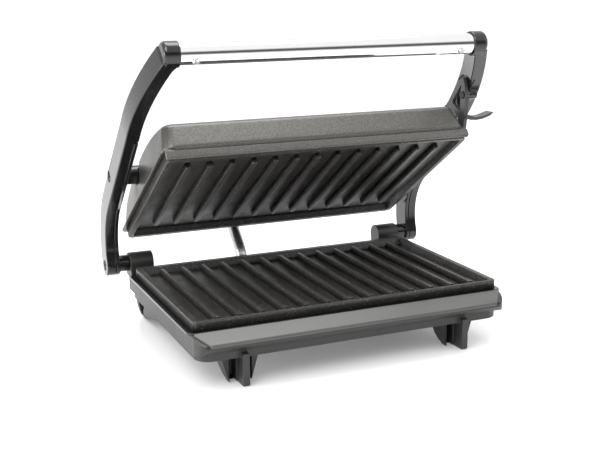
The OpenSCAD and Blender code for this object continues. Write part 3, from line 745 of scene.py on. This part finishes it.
class PressStage(bpy.types.PropertyGroup):
    """Camera and floor of the stage."""

    camera: FloatVectorProperty(name="Camera", description="Where the camera stands", subtype="XYZ",
                                unit="LENGTH", default=(-0.3111, -0.6918, 0.2654))
    aim: FloatVectorProperty(name="Aim", description="The point that the camera looks at",
                             subtype="XYZ", unit="LENGTH", default=(-0.0407, -0.0726, 0.1036))
    roll: FloatProperty(name="Roll", description="Turn of the camera about its own line of sight",
                        subtype="ANGLE", default=math.radians(-0.4))
    lens: FloatProperty(name="Lens", description="Focal length in millimetres", default=62.59)
    floor: FloatVectorProperty(name="Floor", description="Colour of the floor", subtype="COLOR",
                               min=0, max=1, default=(0.86, 0.86, 0.86))


# ---------------------------------------------------------------- operators


class PRESS_OT_base(bpy.types.Operator):
    """Builds the lower housing, its black frame and its satin front trim"""

    bl_idname = "press.base"
    bl_label = "Base"

    def execute(self, context):
        edge = context.scene.press_sizes.edge
        softened("base_housing", "Base_housing", edge)
        softened("plate_frame", "Plate_frame", edge * 0.6)
        softened("front_trim", "Front_trim", edge * 0.6)
        return {"FINISHED"}


def cast_pan(low, high, corner, edge, floor, low_wall, lean):
    """A shallow cast tray, open upwards: rounded rim, leaning inner walls and a flat floor at a height.
    low_wall gives how far the floor's edge stands in from the left, right, front and back."""
    left, right, front, back = low_wall

    def inner(out, z):
        return rounded_loop(low.x + left - out, high.x - right + out, low.y + front - out,
                            high.y - back + out, 2.2 * MM, z)

    rim = high.z
    rings = [rounded_loop(low.x, high.x, low.y, high.y, corner, low.z)]
    rings += [rounded_loop(low.x + i, high.x - i, low.y + i, high.y - i, corner - i, rim - d)
              for i, d in round_over(edge)]
    rings += [inner(lean - edge * 0.3, rim), inner(lean - edge * 0.6, rim - edge * 0.3),
              inner(edge * 1.4, floor + edge), inner(edge * 0.5, floor + edge * 0.25),
              inner(-edge * 0.8, floor)]
    return lofted(rings)


def cast_rib(y0, y1, floor, top, foot, crest, end, edge):
    """One rib with leaning sides and a rounded crest; end is the radius of its ends in plan."""
    rings = [rounded_loop(-foot, foot, y0, y1, end, floor)]
    for inset, drop in round_over(edge):
        half = crest - inset
        rings.append(rounded_loop(-half, half, y0 + foot - half, y1 - foot + half,
                                  max(0.1 * MM, min(end, half * 0.96) - 0.02 * MM), top - drop))
    return lofted(rings)


class PRESS_OT_plates(bpy.types.Operator):
    """Builds the two cooking plates: cast trays with rounded rims, and their rows of ribs"""

    bl_idname = "press.plates"
    bl_label = "Plates"

    def execute(self, context):
        sizes = context.scene.press_sizes
        low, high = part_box("lower_plate")
        bed = Vector((low.x, low.y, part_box("plate_frame")[1].z))
        floor = high.z - 5 * MM
        pan = new_piece("Lower_plate", cast_pan(bed, high, 3 * MM, sizes.plate_edge, floor,
                        (7.2 * MM, 7.2 * MM, 4.5 * MM, 8 * MM), 3 * MM), finish("non_stick"))
        placed(evenly_shaded(pan), "lower_plate")
        rib = cast_rib(low.y + 6 * MM, high.y - 9.5 * MM, floor - 0.3 * MM, high.z - 0.4 * MM, 2.2 * MM,
                       1.3 * MM, 0.6 * MM, 0.5 * MM)
        ribs = rib_row("Lower_ribs", rib, "non_stick", sizes.ribs, sizes.rib_pitch)
        post = cast_rib(low.y + 5.4 * MM, low.y + 9.4 * MM, floor - 0.3 * MM, high.z - 0.1 * MM, 2 * MM,
                        1.9 * MM, 0.5 * MM, 0.4 * MM)
        posts = rib_row("Lower_rib_ends", post, "non_stick", sizes.ribs, sizes.rib_pitch)
        for piece in (ribs, posts):
            evenly_shaded(piece)
            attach(piece, "base")

        low, high = flat_box("upper_plate", sizes.tilt)
        upside_down = Matrix.Rotation(math.pi, 4, "Y")
        rim, seam = low.z, flat_box("upper_cover", sizes.tilt)[0].z + 6.4 * MM
        pan = cast_pan(Vector((low.x, low.y, -seam)), Vector((high.x, high.y, -rim)), 5 * MM,
                       sizes.plate_edge, -rim - 4.4 * MM, (6.2 * MM, 6.2 * MM, 5.5 * MM, 6.5 * MM), 2.6 * MM)
        rib = cast_rib(low.y + 15 * MM, high.y - 20.5 * MM, -rim - 4.7 * MM, -rim - 0.4 * MM, 2.1 * MM,
                       1.9 * MM, 2 * MM, 0.9 * MM)
        ribs = rib_row("Upper_ribs", rib, "non_stick", sizes.ribs, sizes.rib_pitch)
        pan.transform(upside_down)
        ribs.data.transform(upside_down)
        pan = new_piece("Upper_plate", flat_to_open(pan, sizes.tilt), finish("non_stick"))
        flat_to_open(ribs.data, sizes.tilt)
        placed(evenly_shaded(pan), "upper_plate")
        evenly_shaded(ribs)
        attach(ribs, "upper")
        return {"FINISHED"}


class PRESS_OT_arms(bpy.types.Operator):
    """Builds the two arms and the handle tube"""

    bl_idname = "press.arms"
    bl_label = "Arms and handle"

    def execute(self, context):
        edge = context.scene.press_sizes.edge
        for side in ("left", "right"):
            softened(f"{side}_arm_shell", f"{side.title()}_arm_shell", edge * 1.6)
            softened(f"{side}_arm_cover", f"{side.title()}_arm_cover", edge)
        softened("handle_tube", "Handle_tube", 0.2 * MM, 2)
        return {"FINISHED"}


class PRESS_OT_latch(bpy.types.Operator):
    """Builds the latch with its thumb tab"""

    bl_idname = "press.latch"
    bl_label = "Latch"

    def execute(self, context):
        softened("latch", "Latch", context.scene.press_sizes.edge)
        return {"FINISHED"}


CROWN = ((-90, -1.5), (-83, 0.2), (-64, 4.8), (-48, 7.6), (-32, 9), (-14, 9.2), (8, 7.8), (30, 4.4),
         (46, 0.2), (56, -4.6), (64, -10.5))


def crown(y):
    """Height of the cover's crowned top, flat about the pivot, at a depth; a smooth curve through CROWN."""
    y /= MM
    for k in range(len(CROWN) - 1):
        if y <= CROWN[k + 1][0] or k == len(CROWN) - 2:
            break
    (y1, z1), (y2, z2) = CROWN[k], CROWN[k + 1]
    y0, z0 = CROWN[max(0, k - 1)]
    y3, z3 = CROWN[min(len(CROWN) - 1, k + 2)]
    t = min(1.0, max(0.0, (y - y1) / (y2 - y1)))
    start, end = (z2 - z0) / (y2 - y0) * (y2 - y1), (z3 - z1) / (y3 - y1) * (y2 - y1)
    return MM * ((2 * t ** 3 - 3 * t * t + 1) * z1 + (t ** 3 - 2 * t * t + t) * start
                 + (3 * t * t - 2 * t ** 3) * z2 + (t ** 3 - t * t) * end)


def cover_solid(half, front, back, seam, radius, inset, bottom):
    """The crowned block of the cover, flat about the pivot, with its skin moved in by inset."""
    draft = 3 * MM
    corner = 9 * MM - inset

    def ring(step_in, height):
        points = rounded_loop(-half + step_in, half - step_in, front + step_in, back - step_in,
                              max(0.6 * MM, corner - step_in * 0.6), 0, 8, 26)
        for point in points:
            point.z = height(point.y)
        return points

    rings = [ring(inset, lambda y: bottom), ring(inset + draft * 0.16, lambda y: seam + 4 * MM)]
    rings += [ring(inset + draft + i, lambda y, d=d: crown(y) - inset - d) for i, d in round_over(radius, 7)]
    depth = (back - front) / 2 - draft - inset
    for step in (0.12, 0.2, 0.3, 0.42, 0.56, 0.7, 0.84, 0.97):
        rings.append(ring(inset + draft + max(radius * 1.1, depth * step), lambda y: crown(y) - inset))
    return lofted(rings)


def slot_outline(radius, top):
    """(y, z) outline of a slot about the pivot axis, round below and open upwards to a height."""
    arc = [(radius * math.cos(a), radius * math.sin(a)) for a in (math.pi * (1 + k / 16) for k in range(17))]
    return arc + [(radius, top), (-radius, top)]


class PRESS_OT_cover(bpy.types.Operator):
    """Builds the crowned upper cover with its rounded edges, its flange, its front lip and the slots
    that the arms' pivots stand in"""

    bl_idname = "press.cover"
    bl_label = "Upper cover"

    def execute(self, context):
        sizes = context.scene.press_sizes
        low, high = flat_box("upper_cover", sizes.tilt)
        half, seam, wall, seat = 118 * MM, low.z + 6.4 * MM, 2.4 * MM, 112.4 * MM
        back = high.y
        shape = (half, low.y, back, seam, sizes.cover_edge)
        piece = new_piece("Upper_cover", cover_solid(*shape, 0, seam), finish("grey_metallic"))
        hollow = new_piece("hollow", cover_solid(*shape, wall, seam - 2 * MM), finish("grey_metallic"))
        pocket = slot_outline(8.2 * MM + wall, 30 * MM)
        cut(hollow, *(side_prism(pocket, *ends) for ends in ((seat - wall, 0.13), (-0.13, wall - seat))))
        inside = hollow.data.copy()
        bpy.data.objects.remove(hollow)
        notch = slot_outline(8.2 * MM, 30 * MM)
        bore = [(3.05 * MM * math.cos(a), 3.05 * MM * math.sin(a))
                for a in (math.pi * k / 12 for k in range(24))]
        tools = [inside]
        for side in (1, -1):
            ends = sorted((side * seat, side * 0.13))
            tools.append(side_prism(notch, *ends))
            tools.append(side_prism(bore, *sorted((side * (seat - 6 * MM), side * 0.129))))
        for node in ("lamp_power", "lamp_ready"):
            lamp_low, lamp_high = flat_box(node, sizes.tilt)
            hole = lathed([(0, -0.03), (4 * MM, -0.03), (4 * MM, 0.03), (0, 0.03)])
            hole.transform(Matrix.Translation(((lamp_low.x + lamp_high.x) / 2,
                                               (lamp_low.y + lamp_high.y) / 2, 0)))
            tools.append(hole)
        ferrule_low, ferrule_high = flat_box("conduit_ferrule", sizes.tilt)
        hole = lathed([(0, -0.01), (3.2 * MM, -0.01), (3.2 * MM, 0.01), (0, 0.01)])
        hole.transform(Matrix.Translation(((ferrule_low.x + ferrule_high.x) / 2, back,
                                           (ferrule_low.z + ferrule_high.z) / 2))
                       @ Matrix.Rotation(math.pi / 2, 4, "X"))
        cut(piece, *tools, hole)
        flange_x = high.x - 0.1 * MM
        flange = lofted([rounded_loop(-flange_x + i, flange_x - i, low.y + 1.2 * MM + i, back - i,
                                      5 * MM - i, z)
                         for i, z in ((0, seam), (0, seam + 1.1 * MM), (0.2 * MM, seam + 1.45 * MM),
                                      (0.6 * MM, seam + 1.6 * MM), (3 * MM, seam + 1.62 * MM))])
        lip_back = low.y + 2.2 * MM
        lip = lofted([rounded_loop(-half + i, half - i, low.y + i, lip_back, 0.7 * MM, z)
                      for i, z in ((1.2 * MM, low.z), (0.5 * MM, low.z + 0.4 * MM), (0, low.z + 1.4 * MM),
                                   (0, seam - 0.7 * MM), (0.45 * MM, seam - 0.1 * MM),
                                   (0.6 * MM, seam + 0.4 * MM))])
        joined(piece, flange, lip)
        flat_to_open(piece.data, sizes.tilt)
        placed(evenly_shaded(piece), "upper_cover")
        return {"FINISHED"}


class PRESS_OT_fasteners(bpy.types.Operator):
    """Builds the screws, and softens the pins and brackets"""

    bl_idname = "press.fasteners"
    bl_label = "Screws and pins"

    def execute(self, context):
        tilt = context.scene.press_sizes.tilt
        screws("base_screws", "Base_screws", lambda at: (0, 0, -1), 1.9 * MM, 3.6 * MM, 1.8 * MM, 3)
        screws("bracket_screws", "Bracket_screws", lambda at: (0, math.sin(tilt), math.cos(tilt)),
               1.9 * MM, 3.4 * MM, 1.6 * MM, 5)
        screws("arm_screws", "Arm_screws", lambda at: (-math.copysign(1, at.x), 0, 0), 1.5 * MM,
               2.6 * MM, 1.2 * MM, 8)
        down = math.radians(125)
        screws("handle_screws", "Handle_screws", lambda at: (0, -math.sin(down), math.cos(down)),
               1.3 * MM, 2.6 * MM, 1.2 * MM, 13)
        for node in ("hinge_pins", "pivot_pins", "latch_pin", "pivot_brackets"):
            softened(node, node.capitalize(), 0.15 * MM, 2)
        return {"FINISHED"}


class PRESS_OT_fittings(bpy.types.Operator):
    """Builds the lamps, the bushes and the flexible hose between the base and the upper half"""

    bl_idname = "press.fittings"
    bl_label = "Hose and lamps"

    def execute(self, context):
        sizes = context.scene.press_sizes
        for node in ("lamp_power", "lamp_ready"):
            softened(node, node.capitalize(), 0.7 * MM, 5)
        for node in ("supply_gland", "conduit_socket", "conduit_ferrule"):
            softened(node, node.capitalize(), 0.3 * MM, 3)
        low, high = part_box("conduit_socket")
        start = Vector(((low.x + high.x) / 2, (low.y + high.y) / 2, high.z))
        low, high = flat_box("conduit_ferrule", sizes.tilt)
        to_open = Matrix.Translation(PIVOT) @ Matrix.Rotation(-sizes.tilt, 4, "X")
        end = to_open @ Vector((start.x, high.y + FERRULE_GAP, (low.z + high.z) / 2))
        away = Vector((0, math.cos(sizes.tilt), -math.sin(sizes.tilt))) * HOSE_LEAD
        knees = (start, start + Vector((0, MM, HOSE_LEAD)), end + away, end)
        route = []
        for k in range(ROUTE_STEPS + 1):
            t = k / ROUTE_STEPS
            weights = ((1 - t) ** 3, 3 * t * (1 - t) ** 2, 3 * t * t * (1 - t), t ** 3)
            route.append(sum((w * knee for w, knee in zip(weights, knees)), Vector()))
        tree = hose_tree()
        for name, points, bodies in (("Lower_hose", route[:ROUTE_STEPS // 2 + 1], ("base", "arms")),
                                     ("Upper_hose", route[ROUTE_STEPS // 2:], ("arms", "upper"))):
            piece = grown(name, route_mesh(points), tree, finish("conduit_metal"),
                          Radius=sizes.hose_radius, Sections=sizes.hose_sections,
                          Finish=finish("conduit_metal"))
            piece.data.polygons.foreach_set("use_smooth", [True] * len(piece.data.polygons))
            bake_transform(piece)
            if name == "Lower_hose":
                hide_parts("conduit")
        return {"FINISHED"}


class PRESS_OT_inner(bpy.types.Operator):
    """Gives the parts inside the housings their finishes"""

    bl_idname = "press.inner"
    bl_label = "Inner parts"

    def execute(self, context):
        for node, thing in frame["nodes"].items():
            for slot in thing.material_slots:
                slot.material = finish(SLOT_OF[node])
        return {"FINISHED"}


class PRESS_OT_stage(bpy.types.Operator):
    """Sets the floor, the light and the camera"""

    bl_idname = "press.stage"
    bl_label = "Stage"

    def execute(self, context):
        stage = context.scene.press_stage
        mesh = bpy.data.meshes.new("Floor")
        corners = ((-1, -1), (1, -1), (1, 1), (-1, 1))
        mesh.from_pydata([(x * FLOOR_HALF, y * FLOOR_HALF, -FLOOR_DROP) for x, y in corners], [],
                         [(0, 1, 2, 3)])
        material, _, shader, _ = new_finish("floor", stage.floor, 0.22)
        shader.inputs["Emission Color"].default_value = (1, 1, 1, 1)
        shader.inputs["Emission Strength"].default_value = 0.16
        shader.inputs["Specular IOR Level"].default_value = 0.4
        floor = new_piece("Floor", mesh, material)
        world = bpy.data.worlds.new("Studio")
        context.scene.world = world
        world.use_nodes = True
        nodes, link = world.node_tree.nodes, world.node_tree.links.new
        where = nodes.new("ShaderNodeTexCoord").outputs["Generated"]
        parts = nodes.new("ShaderNodeSeparateXYZ")
        link(where, parts.inputs["Vector"])
        lighter = nodes.new("ShaderNodeMath")
        lighter.operation = "MAXIMUM"
        above = nodes.new("ShaderNodeMath")
        above.operation = "SUBTRACT"
        above.inputs[1].default_value = 0.3
        link(parts.outputs["Z"], above.inputs[0])
        link(parts.outputs["Y"], lighter.inputs[0])
        link(above.outputs[0], lighter.inputs[1])
        shade = nodes.new("ShaderNodeValToRGB")
        shade.color_ramp.elements[0].position = 0.0
        shade.color_ramp.elements[0].color = (0.12, 0.12, 0.12, 1)
        shade.color_ramp.elements[1].position = 0.2
        shade.color_ramp.elements[1].color = (1, 1, 1, 1)
        link(lighter.outputs[0], shade.inputs["Fac"])
        link(shade.outputs["Color"], nodes["Background"].inputs["Color"])
        nodes["Background"].inputs["Strength"].default_value = 1.05
        for name, place, aim, size, power in (
                ("Key", (-0.9, -0.6, 1.3), (0, 0, 0.1), (0.9, 0.9), 14),
                ("Left panel", (-1.3, 0.0, 0.3), (0, 0, 0.14), (0.7, 0.45), 9),
                ("Top", (0.1, 0.3, 1.5), (0, 0, 0.1), (1.2, 0.8), 16),
                ("Right fill", (1.2, -0.7, 0.6), (0, 0, 0.1), (0.5, 0.9), 4)):
            lamp = bpy.data.lights.new(name, "AREA")
            lamp.shape = "RECTANGLE"
            lamp.size, lamp.size_y = size
            lamp.energy = power
            holder = bpy.data.objects.new(name, lamp)
            holder.location = place
            holder.rotation_euler = (Vector(aim) - Vector(place)).to_track_quat("-Z", "Y").to_euler()
            context.scene.collection.objects.link(holder)
        lens = bpy.data.cameras.new("Camera")
        lens.lens = stage.lens
        lens.sensor_width = 36
        lens.clip_end = 50
        camera = bpy.data.objects.new("Camera", lens)
        sight = Vector(stage.aim) - Vector(stage.camera)
        turn = sight.to_track_quat("-Z", "Y").to_matrix() @ Matrix.Rotation(stage.roll, 3, "Z")
        camera.matrix_world = Matrix.Translation(stage.camera) @ turn.to_4x4()
        context.scene.collection.objects.link(camera)
        context.scene.camera = camera
        context.scene.view_settings.view_transform = "Standard"
        return {"FINISHED"}


OPERATORS = (PRESS_OT_base, PRESS_OT_plates, PRESS_OT_arms, PRESS_OT_latch, PRESS_OT_cover,
             PRESS_OT_fasteners, PRESS_OT_fittings, PRESS_OT_inner, PRESS_OT_stage)


class PRESS_PT_panel(bpy.types.Panel):
    """Lists the sizes and colours, and a button for each group of pieces"""

    bl_label = "Panini press"
    bl_space_type = "VIEW_3D"
    bl_region_type = "UI"
    bl_category = "Press"

    def draw(self, context):
        for group in (context.scene.press_sizes, context.scene.press_finish, context.scene.press_stage):
            column = self.layout.column()
            for name in group.bl_rna.properties.keys():
                if name not in ("rna_type", "name"):
                    column.prop(group, name)
        for operator in OPERATORS:
            self.layout.operator(operator.bl_idname)


CLASSES = (PressFinish, PressSizes, PressStage, *OPERATORS, PRESS_PT_panel)


def register():
    for cls in CLASSES:
        bpy.utils.register_class(cls)
    bpy.types.Scene.press_finish = PointerProperty(type=PressFinish)
    bpy.types.Scene.press_sizes = PointerProperty(type=PressSizes)
    bpy.types.Scene.press_stage = PointerProperty(type=PressStage)


def unregister():
    del bpy.types.Scene.press_stage
    del bpy.types.Scene.press_sizes
    del bpy.types.Scene.press_finish
    for cls in reversed(CLASSES):
        bpy.utils.unregister_class(cls)


def main():
    """Builds every piece and the stage."""
    register()
    for operator in OPERATORS:
        group, name = operator.bl_idname.split(".")
        getattr(getattr(bpy.ops, group), name)()


if __name__ == "__main__":
    main()
